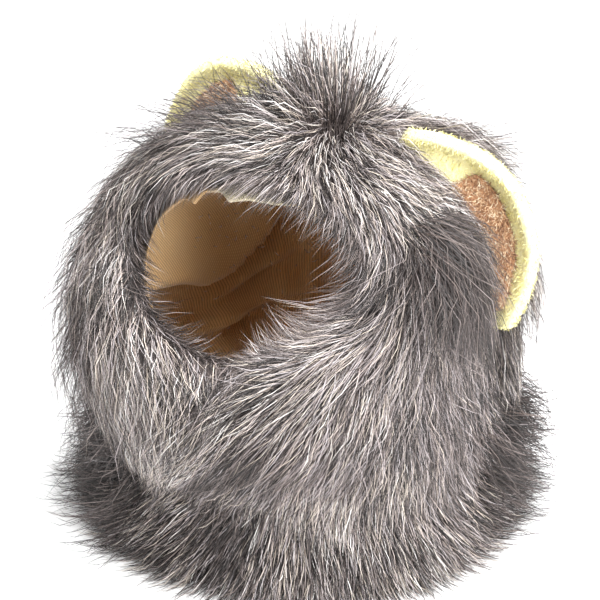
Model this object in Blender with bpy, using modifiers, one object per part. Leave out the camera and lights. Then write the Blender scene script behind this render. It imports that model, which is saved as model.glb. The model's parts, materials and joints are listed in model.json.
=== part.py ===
"""Lion's mane costume hood for a cat or small dog: a hood of deep faux fur with a face opening, a fur collar,
a slack cloth lining and two cupped plush ears.

Metres, +Z up. The face opening looks along -Y and the hem of the collar stands on z = 0, with the middle of
the whole hood's length and width at the origin. The fabric is a stack of rings. A place on it is a position,
counted in rings from the face opening (0) down to the hem, and an angle round the ring, from 0 at the chin's
middle to half a turn at the brow's or the back's."""

import math
import random
from collections import namedtuple

import bmesh
import bpy
from mathutils import Matrix, Vector
from mathutils.bvhtree import BVHTree

MM = 0.001

# Hood, measured on the outside of the fur fabric's knitted backing
HOOD_HEIGHT = 167 * MM
HOOD_WIDTH = 152 * MM
HOOD_FRONT = 85 * MM  # from the neck's middle to the fullest part of the chin roll
HOOD_BACK = 76 * MM
FACE_WIDTH = 100 * MM
FACE_HEIGHT = 72 * MM  # along the slope of the opening
FACE_SLOPE = 60.0  # degrees, from the floor
BROW_DROP = 10 * MM  # how far the brow's edge lies below the crown
COLLAR_HEIGHT = 42 * MM
NECK_WIDTH = 132 * MM
NECK_DEPTH = 130 * MM

# Cloth
FUR_BACKING = 2.0 * MM
LINING_WALL = 1.2 * MM
LINING_EASE = 1.9 * MM  # between the backing and the loose lining
LINING_LIP = 3.5 * MM  # the lining shows this far past the fur's edge
LINING_HEM_RISE = 2.5 * MM
SEAM_GAP = 0.8 * MM  # between pieces that are sewn to each other

# Fur
PILE_HEIGHT = 16 * MM  # how far the combed pile stands off its backing
PILE_REACH = 30 * MM  # how far a lock runs along its backing
STANDING_REACH = 0.3  # share of that reach which a lock keeps where the pile stands up
PARTING_WIDTH = 46 * MM  # over the brow, the pile turns to its side across this width
PARTING_PULL, FACE_PULL = 1.1, 0.6  # how hard the pile is combed off the parting and the face, against weight
FRINGE_PULL = 3.0  # how hard the pile is combed over the face opening's edge, against weight
FRINGE_DEPTH = 9 * MM  # how far behind that edge this fades
FRINGE_REACH, FRINGE_LIFT = 0.4, 0.5  # shares of its reach and height that the pile keeps at that edge
CREST_HEIGHT = 36 * MM  # the pile stands up this far on the crown
CREST_RADIUS = 40 * MM
CREST_BACK = 20 * MM  # the crest's middle lies this far behind the neck's middle
CREST_SIDE = 10 * MM  # and this far to the wearer's left
HEM_PILE = 31 * MM  # the pile fans out this far over the floor
CREASE_PRESS = 0.45  # share of the pile's length that is pressed flat in the crease under the chin
CREASE_WIDTH, CREASE_RISE = 55 * MM, 17 * MM  # how far the crease reaches sideways and up
FLOOR_REST = 6 * MM  # pile below this height is held up by the floor
LOCK_COLUMNS = 32
LOCK_LENGTHS = (0.88, 1.08)  # shares of the pile's length between which locks vary
SHORTEST_LOCK, LOCK_TRIM = 0.3, 0.08  # a lock that meets another is cut back by steps of the second share
LOCK_CLEARANCE = 0.5 * MM
ROOT_WIDTH, BEND_WIDTH, LOCK_BEND = 0.93, 0.88, 0.55  # shares of its cell, and how far up its bend is

# Ears
EAR_HEIGHT = 28 * MM
EAR_THICKNESS = 5 * MM
EAR_CUP = 10 * MM
EAR_LEVEL = 0.55  # height of the middle that the seams run round, as a share of HOOD_HEIGHT
EAR_FAN = 0.3  # how much the ear widens towards its rim
EAR_CORNER, EAR_ROUND = 0.1, 0.7  # the outline is a half sine with its ends cut off, raised to a power
PANEL_THICKNESS = 2.5 * MM
PANEL_BORDER = 8 * MM  # the plush rim that shows round the inner panel
PANEL_FOOT = 0.06  # the panel starts this share of the ear's height above its seam
PANEL_SPAN = (0.3, 0.92)  # and lies between these shares of the way down its seam
EAR_TRIM, TRIM_REACH = 0.6, 30 * MM  # the pile in front of an ear is shorter by this share, fading out this far off
EAR_COLUMNS, EAR_ROWS = 16, 7
SEAM_SHARES = (0.1, 0.3, 0.5, 0.7, 0.9)  # the pile's distance from an ear is taken to these shares of its seam
PANEL_COLUMNS, PANEL_ROWS = 10, 4

# Each ear's side, +1 at the wearer's left, the ends of its seam in degrees down from the crown, how far that
# lies behind the neck's middle, and how far its rim leans forwards.
Ear = namedtuple("Ear", "name side top foot back lean")
EARS = (Ear("ear_left", 1, 25, 90, 10 * MM, 6 * MM), Ear("ear_right", -1, 14, 74, 20 * MM, 0.0))

# Rings of the hood between the face opening and the seam. Lengths are shares: front_out of HOOD_FRONT,
# back_out and side_back of HOOD_BACK, front_up of the way from the seam up to the chin, back_up of
# HOOD_HEIGHT, and width of the way from the face opening's width to the hood's.
HoodRing = namedtuple("HoodRing", "name front_out front_up back_out back_up width side_back")
HOOD_RINGS = (
    HoodRing("brow roll", 0.918, 0.92, -0.26, 0.978, 0.36, 0.12),
    HoodRing("temples", 0.976, 0.77, 0.03, 1.000, 0.66, 0.09),
    HoodRing("crown", 1.000, 0.58, 0.40, 0.958, 0.88, 0.05),
    HoodRing("crown back", 0.976, 0.40, 0.72, 0.844, 1.00, 0.02),
    HoodRing("upper nape", 0.935, 0.25, 0.92, 0.670, 1.00, 0.00),
    HoodRing("nape", 0.895, 0.11, 1.00, 0.467, 0.97, 0.00),
)
RIM_FRONT_OUT, RIM_SIDE_BACK = 0.835, 0.13
SEAM_FRONT_OUT, SEAM_BACK_OUT, SEAM_WIDTH = 0.862, 0.987, 0.90
COLLAR_RINGS = (0.34, 0.68)  # shares of the way from the seam down to the hem

# Folds of the slack lining: the angle in degrees where one starts, its slant in degrees a ring, its spread in
# degrees, its depth as a share of HOOD_WIDTH, and the positions between which it shows.
Fold = namedtuple("Fold", "angle slant spread depth first last")
LINING_FOLDS = (
    Fold(212, 11.0, 13, 0.046, 1.6, 8.6),
    Fold(158, -5.0, 11, 0.033, 2.2, 9.4),
    Fold(251, 6.0, 12, 0.030, 1.2, 8.0),
    Fold(112, -3.0, 13, 0.026, 1.8, 8.8),
    Fold(306, 3.0, 15, 0.023, 3.0, 9.6),
)
RIM_GATHERS = 12
GATHER_DEPTH = 1.6 * MM
GATHER_POSITION, GATHER_SPREAD = 0.6, 0.6
LIP_WAVE = 0.3  # share of the lip's width by which its edge waves
LINING_COLUMNS, LINING_RINGS = 40, 13

Ring = namedtuple("Ring", "front_y front_z back_y back_z half_width side_back")


def face_edge():
    """The face opening's lowest and highest points, as chin_y, chin_z, brow_y, brow_z."""
    slope = math.radians(FACE_SLOPE)
    chin_y = -RIM_FRONT_OUT * HOOD_FRONT
    brow_z = HOOD_HEIGHT - BROW_DROP
    return chin_y, brow_z - FACE_HEIGHT * math.sin(slope), chin_y + FACE_HEIGHT * math.cos(slope), brow_z


def fabric_rings():
    """The rings that the fabric passes through, from the face opening to the hem."""
    chin_y, chin_z, brow_y, brow_z = face_edge()
    half_face, half_hood = FACE_WIDTH / 2, HOOD_WIDTH / 2
    rings = [Ring(chin_y, chin_z, brow_y, brow_z, half_face, RIM_SIDE_BACK * HOOD_BACK)]
    for row in HOOD_RINGS:
        front_z = COLLAR_HEIGHT + row.front_up * (chin_z - COLLAR_HEIGHT)
        half_width = half_face + row.width * (half_hood - half_face)
        back_y, back_z = row.back_out * HOOD_BACK, row.back_up * HOOD_HEIGHT
        side_back = row.side_back * HOOD_BACK
        rings.append(Ring(-row.front_out * HOOD_FRONT, front_z, back_y, back_z, half_width, side_back))
    seam_half = half_face + SEAM_WIDTH * (half_hood - half_face)
    seam_front, seam_back = -SEAM_FRONT_OUT * HOOD_FRONT, SEAM_BACK_OUT * HOOD_BACK
    for share in (0, *COLLAR_RINGS, 1):
        front_y = seam_front + share * (-NECK_DEPTH / 2 - seam_front)
        back_y = seam_back + share * (NECK_DEPTH / 2 - seam_back)
        half_width = seam_half + share * (NECK_WIDTH / 2 - seam_half)
        height = COLLAR_HEIGHT * (1 - share)
        rings.append(Ring(front_y, height, back_y, height, half_width, 0.0))
    return rings


RINGS = fabric_rings()
SEAM_RING = len(HOOD_RINGS) + 1
HEM_RING = len(RINGS) - 1


def ring_at(position):
    """The ring at a position between whole rings, on a smooth curve through them."""
    start = min(max(math.floor(position), 0), HEM_RING - 1)
    part = position - start
    here, there = RINGS[start], RINGS[start + 1]
    if not 0 <= part <= 1:
        return Ring(*(a + part * (b - a) for a, b in zip(here, there)))
    before, after = RINGS[max(start - 1, 0)], RINGS[min(start + 2, HEM_RING)]
    values = []
    for a, b, c, d in zip(before, here, there, after):
        bend = (2 * a - 5 * b + 4 * c - d) * part**2 + (3 * (b - c) + d - a) * part**3
        values.append(b + 0.5 * ((c - a) * part + bend))
    return Ring(*values)


def fabric_point(position, angle):
    """A place on the outside of the backing."""
    ring = ring_at(position)
    lean, side = math.cos(angle), math.sin(angle)
    y = (ring.front_y + ring.back_y) / 2 + lean * (ring.front_y - ring.back_y) / 2
    z = (ring.front_z + ring.back_z) / 2 + lean * (ring.front_z - ring.back_z) / 2
    return Vector((ring.half_width * side, y + ring.side_back * side**2, z))


def fabric_normal(position, angle):
    step = 0.02
    along = fabric_point(position + step, angle) - fabric_point(position - step, angle)
    around = fabric_point(position, angle + step) - fabric_point(position, angle - step)
    return along.cross(around).normalized()


def smooth_step(value):
    value = min(max(value, 0.0), 1.0)
    return value * value * (3 - 2 * value)


def tube(columns, positions, place):
    """An open tube from a cylinder, with a ring of corners at each position, each corner set by place."""
    bm = bmesh.new()
    bmesh.ops.create_cone(bm, cap_ends=False, segments=columns, radius1=1, radius2=1, depth=2)
    upright = [edge for edge in bm.edges if abs(edge.verts[0].co.z - edge.verts[1].co.z) > 1]
    bmesh.ops.subdivide_edges(bm, edges=upright, cuts=len(positions) - 2, use_grid_fill=True)
    for vertex in bm.verts:
        row = round((1 - vertex.co.z) / 2 * (len(positions) - 1))
        column = round(math.atan2(vertex.co.x, -vertex.co.y) / (2 * math.pi) * columns)
        vertex.co = place(positions[row], 2 * math.pi * column / columns)
    return bm


def give_wall(bm, thickness, outwards):
    """Makes the open surface in bm a closed wall, which lies behind it as seen from outwards.

    The faces of the surface keep material index 0, and those of the wall behind it get 1."""
    bmesh.ops.recalc_face_normals(bm, faces=bm.faces)
    foremost = max(bm.faces, key=lambda face: face.calc_center_median().dot(outwards))
    if foremost.normal.dot(outwards) < 0:
        bmesh.ops.reverse_faces(bm, faces=bm.faces)
    mesh = bpy.data.meshes.new("surface")
    bm.to_mesh(mesh)
    mesh.materials.append(None)
    mesh.materials.append(None)
    surface = bpy.data.objects.new("surface", mesh)
    bpy.context.scene.collection.objects.link(surface)
    wall = surface.modifiers.new("wall", "SOLIDIFY")
    wall.thickness = thickness
    wall.offset = -1
    wall.use_even_offset = True
    wall.material_offset = 1
    wall.material_offset_rim = 1
    graph = bpy.context.evaluated_depsgraph_get()
    solid = bpy.data.meshes.new_from_object(surface.evaluated_get(graph))
    bpy.data.objects.remove(surface)
    bm.clear()
    bm.from_mesh(solid)


def make_backing(first, last):
    """The fur fabric's knitted backing between two positions."""
    count = round(last) - round(first)
    positions = [first + (last - first) * k / count for k in range(count + 1)]
    bm = tube(LOCK_COLUMNS, positions, fabric_point)
    give_wall(bm, FUR_BACKING, Vector((1, 0, 0)))
    for vertex in bm.verts:
        if vertex.co.z < FUR_BACKING:
            vertex.co.z = 0.0  # the hem is cut level
    return bm


def lining_point(position, angle):
    """The lining follows the backing inside it, with slack folds, and gathers at the face opening."""
    inset = FUR_BACKING + LINING_EASE
    if position < 0:
        edge, inner = fabric_point(0, angle), fabric_point(0.25, angle)
        past = LINING_LIP * (1 + LIP_WAVE * math.cos(RIM_GATHERS / 2 * angle))
        return edge + (edge - inner).normalized() * past - fabric_normal(0, angle) * inset
    for fold in LINING_FOLDS:
        if fold.first < position < fold.last:
            middle = math.radians(fold.angle + fold.slant * (position - fold.first))
            apart = (angle - middle + math.pi) % (2 * math.pi) - math.pi
            show = math.sin(math.pi * (position - fold.first) / (fold.last - fold.first)) ** 0.7
            inset += fold.depth * HOOD_WIDTH * show * math.exp(-((apart / math.radians(fold.spread)) ** 2))
    fade = math.exp(-(((position - GATHER_POSITION) / GATHER_SPREAD) ** 2))
    inset += GATHER_DEPTH * fade * (1 + math.cos(RIM_GATHERS * angle)) / 2
    return fabric_point(position, angle) - fabric_normal(position, angle) * inset


def make_lining():
    """The lining's wall, from its lip round the face opening down to just above the collar's hem."""
    hem = HEM_RING - LINING_HEM_RISE / (COLLAR_HEIGHT * (1 - COLLAR_RINGS[-1]))
    positions = [-1] + [hem * k / (LINING_RINGS - 1) for k in range(LINING_RINGS)]
    bm = tube(LINING_COLUMNS, positions, lining_point)
    give_wall(bm, LINING_WALL, Vector((1, 0, 0)))
    return bm


def ear_seam(ear, hood, turn):
    """Where the ear is sewn to the hood, at a turn down from the crown, and the way outwards there."""
    aim = Vector((ear.side * math.sin(turn), 0, math.cos(turn)))
    middle = Vector((0, ear.back, EAR_LEVEL * HOOD_HEIGHT))
    return hood.ray_cast(middle + aim * 2 * HOOD_WIDTH, -aim)[0], aim


def ear_point(ear, hood, along, up):
    """A place on the front of an ear: along runs down its seam and up from there to its rim, from 0 to 1."""
    turn = math.radians(ear.top + along * (ear.foot - ear.top))
    half_turn = math.radians((ear.top + ear.foot) / 2)
    lean = half_turn + EAR_FAN * (turn - half_turn)
    seam, aim = ear_seam(ear, hood, turn)
    rise = Vector((ear.side * math.sin(lean), 0, math.cos(lean)))
    outline = math.sin(math.pi * (EAR_CORNER + (1 - 2 * EAR_CORNER) * along)) ** EAR_ROUND
    cup = EAR_CUP * (1 - (2 * along - 1) ** 2) * math.sin(0.7 * math.pi * up) ** 2
    back = cup - ear.lean * outline * up**2
    return seam + aim * SEAM_GAP + rise * (EAR_HEIGHT * outline * up) + Vector((0, back, 0))


def ear_normal(ear, hood, along, up):
    step = 0.04
    down_seam = ear_point(ear, hood, along + step, up) - ear_point(ear, hood, along - step, up)
    to_rim = ear_point(ear, hood, along, up + step) - ear_point(ear, hood, along, up - step)
    return down_seam.cross(to_rim).normalized() * ear.side


def make_ear_pad(ear, hood, columns, rows, thickness, span=(0.0, 1.0), foot=0.0, brim=1.0, proud=0.0):
    """A cupped plush pad over a span of the ear, from foot to brim, with its front proud of the ear's."""
    bm = bmesh.new()
    bmesh.ops.create_grid(bm, x_segments=columns, y_segments=rows, size=0.5)
    for vertex in bm.verts:
        along = span[0] + (vertex.co.x + 0.5) * (span[1] - span[0])
        up = foot + (vertex.co.y + 0.5) * (brim - foot)
        vertex.co = ear_point(ear, hood, along, up) + ear_normal(ear, hood, along, up) * proud
    give_wall(bm, thickness, Vector((0, -1, 0)))
    return bm


LOCK_SIDES = ((0, 1, 5, 4), (1, 2, 6, 5), (2, 3, 7, 6), (3, 0, 4, 7))
LOCK_POINT = ((4, 5, 8), (5, 6, 8), (6, 7, 8), (7, 4, 8))
FACE_EDGE = [fabric_point(0, 2 * math.pi * k / LOCK_COLUMNS) for k in range(LOCK_COLUMNS)]


def fringe_share(point):
    """How much a place belongs to the fringe over the face opening's edge, from 0 to 1."""
    distance = min((point - edge).length for edge in FACE_EDGE)
    return math.exp(-((distance / FRINGE_DEPTH) ** 2))


def comb_direction(point, normal):
    """The way the pile is combed: down, to each side of the brow's parting, and over the face's edge."""
    chin_y, chin_z, brow_y, brow_z = face_edge()
    face_middle = Vector((0, (chin_y + brow_y) / 2, (chin_z + brow_z) / 2))
    parting = smooth_step((point.z - chin_z) / (brow_z - chin_z))
    side = max(min(2 * point.x / PARTING_WIDTH, 1.0), -1.0)
    away = FACE_PULL - FRINGE_PULL * fringe_share(point)
    pull = Vector((PARTING_PULL * side * parting, 0, -1.0)) + away * (point - face_middle).normalized()
    return (pull - normal * pull.dot(normal)).normalized()


def lock_points(face, share, clearance, seams):
    """A lock's nine corners: four round its root, four round its bend, and its tip."""
    root, normal = face.calc_center_median(), face.normal.copy()
    direction = comb_direction(root, normal)
    crest = smooth_step(2 - 2 * (root - Vector((CREST_SIDE, CREST_BACK, HOOD_HEIGHT))).length / CREST_RADIUS)
    splay = smooth_step(1.1 - root.z / COLLAR_HEIGHT)
    stand = PILE_HEIGHT + crest * (CREST_HEIGHT - PILE_HEIGHT) + splay * (HEM_PILE - PILE_HEIGHT)
    reach = PILE_REACH * (1 - (1 - STANDING_REACH) * max(crest, splay))
    fringe = fringe_share(root)
    stand *= 1 - (1 - FRINGE_LIFT) * fringe
    reach *= 1 - (1 - FRINGE_REACH) * fringe
    if root.y < 0:
        crease = math.hypot(root.x / CREASE_WIDTH, (root.z - COLLAR_HEIGHT) / CREASE_RISE)
        share *= 1 - CREASE_PRESS * math.exp(-(crease**2))
    before = [(seam - root).length for seam in seams if root.y < seam.y]
    if before:
        share *= 1 - EAR_TRIM * (1 - crest) * math.exp(-((min(before) / TRIM_REACH) ** 2))

    def middle(part):
        lift = share * stand * math.sin(part * math.pi / 2)
        return root + normal * lift + direction * (share * reach * part**2)

    points = []
    for part, width in ((0, ROOT_WIDTH), (LOCK_BEND, BEND_WIDTH)):
        for vertex in face.verts:
            corner = (vertex.co - root) * width
            points.append(middle(part) + corner + corner.normalized() * clearance)
    points.append(middle(1) + (normal + direction) * clearance)
    for point in points[4:]:
        if point.z < FLOOR_REST:
            point.z = FLOOR_REST * math.exp(point.z / FLOOR_REST - 1)
    return points


class Pile:
    """All the locks raised so far, kept so that a new one passes none of them, and the seams of the ears."""

    def __init__(self, seams):
        self.points, self.polygons, self.seams = [], [], seams

    def add(self, points):
        first = len(self.points)
        self.points.extend(points)
        for side in LOCK_SIDES + LOCK_POINT:
            self.polygons.append(tuple(first + corner for corner in side))

    def touches(self, lock):
        return bool(self.points) and bool(lock.overlap(BVHTree.FromPolygons(self.points, self.polygons)))


def raise_locks(bm, pile, others, seed):
    """Draws a lock of pile out of each outer cell of the backing, cut back where it would meet another."""
    rng = random.Random(seed)
    backing = BVHTree.FromBMesh(bm)

    def touches(face, share, clearance):
        points = lock_points(face, share, clearance, pile.seams)
        lock = BVHTree.FromPolygons(points, LOCK_SIDES + LOCK_POINT)
        above_bend = BVHTree.FromPolygons(points, LOCK_POINT)
        return above_bend.overlap(backing) or pile.touches(lock) or any(lock.overlap(tree) for tree in others)

    for face in [face for face in bm.faces if face.material_index == 0]:
        share = rng.uniform(*LOCK_LENGTHS)
        while share > SHORTEST_LOCK and any(touches(face, share, gap) for gap in (0, LOCK_CLEARANCE)):
            share -= LOCK_TRIM
        if share <= SHORTEST_LOCK:
            continue
        points = lock_points(face, share, 0, pile.seams)
        pile.add(points)
        for ring in (points[0:4], points[4:8]):
            face = bmesh.ops.extrude_discrete_faces(bm, faces=[face])["faces"][0]
            for vertex, place in zip(face.verts, ring):
                vertex.co = place
        tip = bmesh.ops.poke(bm, faces=[face])["verts"][0]
        tip.co = points[8]


def make_material(name, colour, roughness):
    material = bpy.data.materials.new(name)
    material.use_nodes = True
    shader = material.node_tree.nodes["Principled BSDF"]
    shader.inputs["Base Color"].default_value = (*colour, 1)
    shader.inputs["Roughness"].default_value = roughness
    shader.inputs["Metallic"].default_value = 0.0
    material.diffuse_color = (*colour, 1)
    return material


def make_object(name, bm, material, collection):
    for face in bm.faces:
        face.material_index = 0
    mesh = bpy.data.meshes.new(name)
    bm.to_mesh(mesh)
    bm.free()
    mesh.materials.append(material)
    mesh.shade_smooth()
    mesh.set_sharp_from_angle(angle=math.radians(50))
    obj = bpy.data.objects.new(name, mesh)
    collection.objects.link(obj)
    return obj


def centre_on_origin(objects):
    """Moves the pieces together, so that the middle of their length and width is the origin."""
    corners = [vertex.co for obj in objects for vertex in obj.data.vertices]
    lows = [min(corner[axis] for corner in corners) for axis in (0, 1)]
    highs = [max(corner[axis] for corner in corners) for axis in (0, 1)]
    shift = Vector((-(lows[0] + highs[0]) / 2, -(lows[1] + highs[1]) / 2, 0))
    for obj in objects:
        obj.data.transform(Matrix.Translation(shift))


def main():
    for obj in list(bpy.data.objects):
        bpy.data.objects.remove(obj)
    collection = bpy.data.collections.new("lion_mane_hood")
    bpy.context.scene.collection.children.link(collection)
    fur = make_material("grey_faux_fur", (0.22, 0.19, 0.18), 0.8)
    cloth = make_material("tan_lining_cloth", (0.44, 0.28, 0.13), 0.85)
    plush = make_material("cream_plush", (0.86, 0.76, 0.42), 0.9)
    panel = make_material("tan_plush", (0.62, 0.31, 0.12), 0.9)

    seam_gap = SEAM_GAP / (COLLAR_HEIGHT * COLLAR_RINGS[0])
    hood = make_backing(0, SEAM_RING - seam_gap)
    collar = make_backing(SEAM_RING, HEM_RING)
    hood_tree = BVHTree.FromBMesh(hood)
    ears = {}
    proud = SEAM_GAP / 2 + PANEL_THICKNESS
    for ear in EARS:
        ears[ear.name] = make_ear_pad(ear, hood_tree, EAR_COLUMNS, EAR_ROWS, EAR_THICKNESS)
        ears[ear.name + "_inner"] = make_ear_pad(
            ear, hood_tree, PANEL_COLUMNS, PANEL_ROWS, PANEL_THICKNESS, PANEL_SPAN, PANEL_FOOT,
            1 - PANEL_BORDER / EAR_HEIGHT, proud
        )

    turns = [(ear, ear.top + share * (ear.foot - ear.top)) for ear in EARS for share in SEAM_SHARES]
    pile = Pile([ear_seam(ear, hood_tree, math.radians(turn))[0] for ear, turn in turns])
    ear_trees = [BVHTree.FromBMesh(pad) for pad in ears.values()]
    collar_tree = BVHTree.FromBMesh(collar)
    raise_locks(collar, pile, [hood_tree, *ear_trees], 5)
    raise_locks(hood, pile, [collar_tree, *ear_trees], 3)
    pieces = [
        make_object("hood_fur", hood, fur, collection),
        make_object("collar_fur", collar, fur, collection),
        make_object("lining", make_lining(), cloth, collection),
    ]
    for name, pad in ears.items():
        pieces.append(make_object(name, pad, panel if name.endswith("_inner") else plush, collection))
    centre_on_origin(pieces)


main()
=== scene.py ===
import json
import math

import bpy
import numpy as np
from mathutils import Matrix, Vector
from mathutils.bvhtree import BVHTree
from mathutils.kdtree import KDTree


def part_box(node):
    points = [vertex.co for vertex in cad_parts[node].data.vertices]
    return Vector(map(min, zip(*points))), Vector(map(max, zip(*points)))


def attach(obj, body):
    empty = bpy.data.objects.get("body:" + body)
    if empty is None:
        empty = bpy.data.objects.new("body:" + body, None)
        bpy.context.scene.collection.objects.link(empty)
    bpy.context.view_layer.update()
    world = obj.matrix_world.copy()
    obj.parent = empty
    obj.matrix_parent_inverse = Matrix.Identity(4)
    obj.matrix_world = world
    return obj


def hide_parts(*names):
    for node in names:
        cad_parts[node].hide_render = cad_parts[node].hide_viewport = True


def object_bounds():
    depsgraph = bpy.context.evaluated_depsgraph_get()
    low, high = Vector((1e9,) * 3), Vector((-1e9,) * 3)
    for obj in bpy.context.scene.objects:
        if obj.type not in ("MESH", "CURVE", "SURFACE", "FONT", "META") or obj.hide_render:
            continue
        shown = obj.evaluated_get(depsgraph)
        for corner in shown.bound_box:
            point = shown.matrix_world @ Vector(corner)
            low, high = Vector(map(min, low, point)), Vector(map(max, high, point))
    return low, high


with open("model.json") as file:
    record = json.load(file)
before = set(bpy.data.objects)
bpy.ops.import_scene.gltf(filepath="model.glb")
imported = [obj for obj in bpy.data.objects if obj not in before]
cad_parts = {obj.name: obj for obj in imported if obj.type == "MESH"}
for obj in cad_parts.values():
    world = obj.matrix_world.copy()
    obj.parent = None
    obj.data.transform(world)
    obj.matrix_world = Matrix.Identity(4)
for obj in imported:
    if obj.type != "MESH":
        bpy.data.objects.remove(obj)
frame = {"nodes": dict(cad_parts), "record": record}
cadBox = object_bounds()
mm = 0.001

neckMiddle = next(m for m in frame["record"]["mounts"] if m["name"] == "neck_opening")["pos_m"]
neckX, neckY = neckMiddle[:2]  # the neck's middle lies this far from the middle of the whole hood


# ---- the hood's fabric, which everything else is sewn to

hood = {  # mm and shares, measured on the outside of the fur fabric's knitted backing
    "height": 167, "width": 152, "front": 85, "back": 76,
    "faceWidth": 100, "faceHeight": 72, "faceSlope": 60, "browDrop": 10,
    "collarHeight": 42, "neckWidth": 132, "neckDepth": 130,
    "rimFrontOut": 0.835, "rimSideBack": 0.13,
    "seamFrontOut": 0.862, "seamBackOut": 0.987, "seamWidth": 0.90,
    "backing": 2.0, "liningEase": 1.9, "liningWall": 1.2,
}
# front out, front up, back out, back up, width, side back: shares of the front, of the chin's height over the
# seam, of the back, of the height, of the widening from the face to the hood, and of the back again
hoodRows = (
    (0.918, 0.92, -0.26, 0.978, 0.36, 0.12),  # brow roll
    (0.976, 0.77, 0.03, 1.000, 0.66, 0.09),  # temples
    (1.000, 0.58, 0.40, 0.958, 0.88, 0.05),  # crown
    (0.976, 0.40, 0.72, 0.844, 1.00, 0.02),  # back of the crown
    (0.935, 0.25, 0.92, 0.670, 1.00, 0.00),  # upper nape
    (0.895, 0.11, 1.00, 0.467, 0.97, 0.00),  # nape
)
seamRing = len(hoodRows) + 1  # the collar is sewn on here
hemRing = seamRing + 3

slope = math.radians(hood["faceSlope"])
chinY = -hood["rimFrontOut"] * hood["front"] * mm
browZ = (hood["height"] - hood["browDrop"]) * mm
chinZ = browZ - hood["faceHeight"] * math.sin(slope) * mm
browY = chinY + hood["faceHeight"] * math.cos(slope) * mm
faceMiddle = np.array((neckX, (chinY + browY) / 2 + neckY, (chinZ + browZ) / 2))


def fabricRings():
    halfFace, halfHood = hood["faceWidth"] / 2 * mm, hood["width"] / 2 * mm
    front, back, seamZ = hood["front"] * mm, hood["back"] * mm, hood["collarHeight"] * mm
    rings = [(chinY, chinZ, browY, browZ, halfFace, hood["rimSideBack"] * back)]
    for frontOut, frontUp, backOut, backUp, width, sideBack in hoodRows:
        rings.append((-frontOut * front, seamZ + frontUp * (chinZ - seamZ), backOut * back,
                      backUp * hood["height"] * mm, halfFace + width * (halfHood - halfFace), sideBack * back))
    seamFront, seamBack = -hood["seamFrontOut"] * front, hood["seamBackOut"] * back
    seamHalf = halfFace + hood["seamWidth"] * (halfHood - halfFace)
    for share in (0, 0.34, 0.68, 1):
        height = seamZ * (1 - share)
        rings.append((seamFront + share * (-hood["neckDepth"] / 2 * mm - seamFront), height,
                      seamBack + share * (hood["neckDepth"] / 2 * mm - seamBack), height,
                      seamHalf + share * (hood["neckWidth"] / 2 * mm - seamHalf), 0))
    return np.array(rings)


rings = fabricRings()


def fabricAt(ring, angle):  # points on the backing; angle is 0 at the chin's middle, and grows towards +X
    ring, angle = np.broadcast_arrays(np.asarray(ring, float), np.asarray(angle, float))
    start = np.clip(np.floor(ring), 0, hemRing - 1).astype(int)
    part = (ring - start)[..., None]
    a, b = rings[np.maximum(start - 1, 0)], rings[start]
    c, d = rings[start + 1], rings[np.minimum(start + 2, hemRing)]
    curved = b + 0.5 * ((c - a) * part + (2 * a - 5 * b + 4 * c - d) * part**2
                        + (3 * (b - c) + d - a) * part**3)
    row = np.where((part < 0) | (part > 1), b + part * (c - b), curved)
    frontY, frontZ, backY, backZ, halfWidth, sideBack = np.moveaxis(row, -1, 0)
    lean, side = np.cos(angle), np.sin(angle)
    y = (frontY + backY) / 2 + lean * (frontY - backY) / 2 + sideBack * side**2 + neckY
    z = (frontZ + backZ) / 2 + lean * (frontZ - backZ) / 2
    return np.stack((halfWidth * side + neckX, y, z), -1)


def unit(vectors):
    return vectors / np.maximum(np.linalg.norm(vectors, axis=-1, keepdims=True), 1e-9)


def fabricSlopes(ring, angle):  # how the fabric runs per ring and per radian, and its outward normal
    step = 0.02
    along = (fabricAt(ring + step, angle) - fabricAt(ring - step, angle)) / (2 * step)
    around = (fabricAt(ring, angle + step) - fabricAt(ring, angle - step)) / (2 * step)
    return along, around, unit(np.cross(along, around))


def smoothStep(value):
    value = np.clip(value, 0, 1)
    return value * value * (3 - 2 * value)


def ripple(points, size, seed):  # a smooth random value, mostly from -1 to 1, that changes over size metres
    rng = np.random.RandomState(seed)
    value = 0
    for _ in range(7):
        way = unit(rng.normal(size=3))
        value = value + np.sin(points @ way * (2 * math.pi / size) * rng.uniform(0.6, 1.5)
                               + rng.uniform(0, 6.28))
    return value / 3.2


# ---- helpers for materials and meshes

def hexColour(code):  # an sRGB hex value as linear RGBA
    channels = [int(code[k:k + 2], 16) / 255 for k in (1, 3, 5)]
    return (*(c / 12.92 if c <= 0.04045 else ((c + 0.055) / 1.055) ** 2.4 for c in channels), 1)


def addNode(tree, kind, inputs=None, stops=None, **settings):  # an input is a value, or a socket to link
    node = tree.nodes.new("ShaderNode" + kind)
    for name, value in settings.items():
        setattr(node, name, value)
    for name, value in (inputs or {}).items():
        if isinstance(value, bpy.types.NodeSocket):
            tree.links.new(value, node.inputs[name])
        else:
            node.inputs[name].default_value = value
    for k, (place, code) in enumerate(stops or ()):
        element = node.color_ramp.elements[k] if k < 2 else node.color_ramp.elements.new(place)
        element.position, element.color = place, hexColour(code)
    return node


def newMaterial(name, **sockets):  # socket names have _ for a space
    material = bpy.data.materials.new(name)
    material.use_nodes = True
    shader = material.node_tree.nodes["Principled BSDF"]
    for socket, value in sockets.items():
        shader.inputs[socket.replace("_", " ")].default_value = value
    return material, material.node_tree, shader


def selectOnly(piece):
    bpy.ops.object.select_all(action="DESELECT")
    piece.select_set(True)
    bpy.context.view_layer.objects.active = piece


def applyModifiers(piece):
    selectOnly(piece)
    for modifier in list(piece.modifiers):
        bpy.ops.object.modifier_apply(modifier=modifier.name)


def declare(piece, slot, *nodes):
    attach(piece, "root")
    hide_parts(*nodes)


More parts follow.
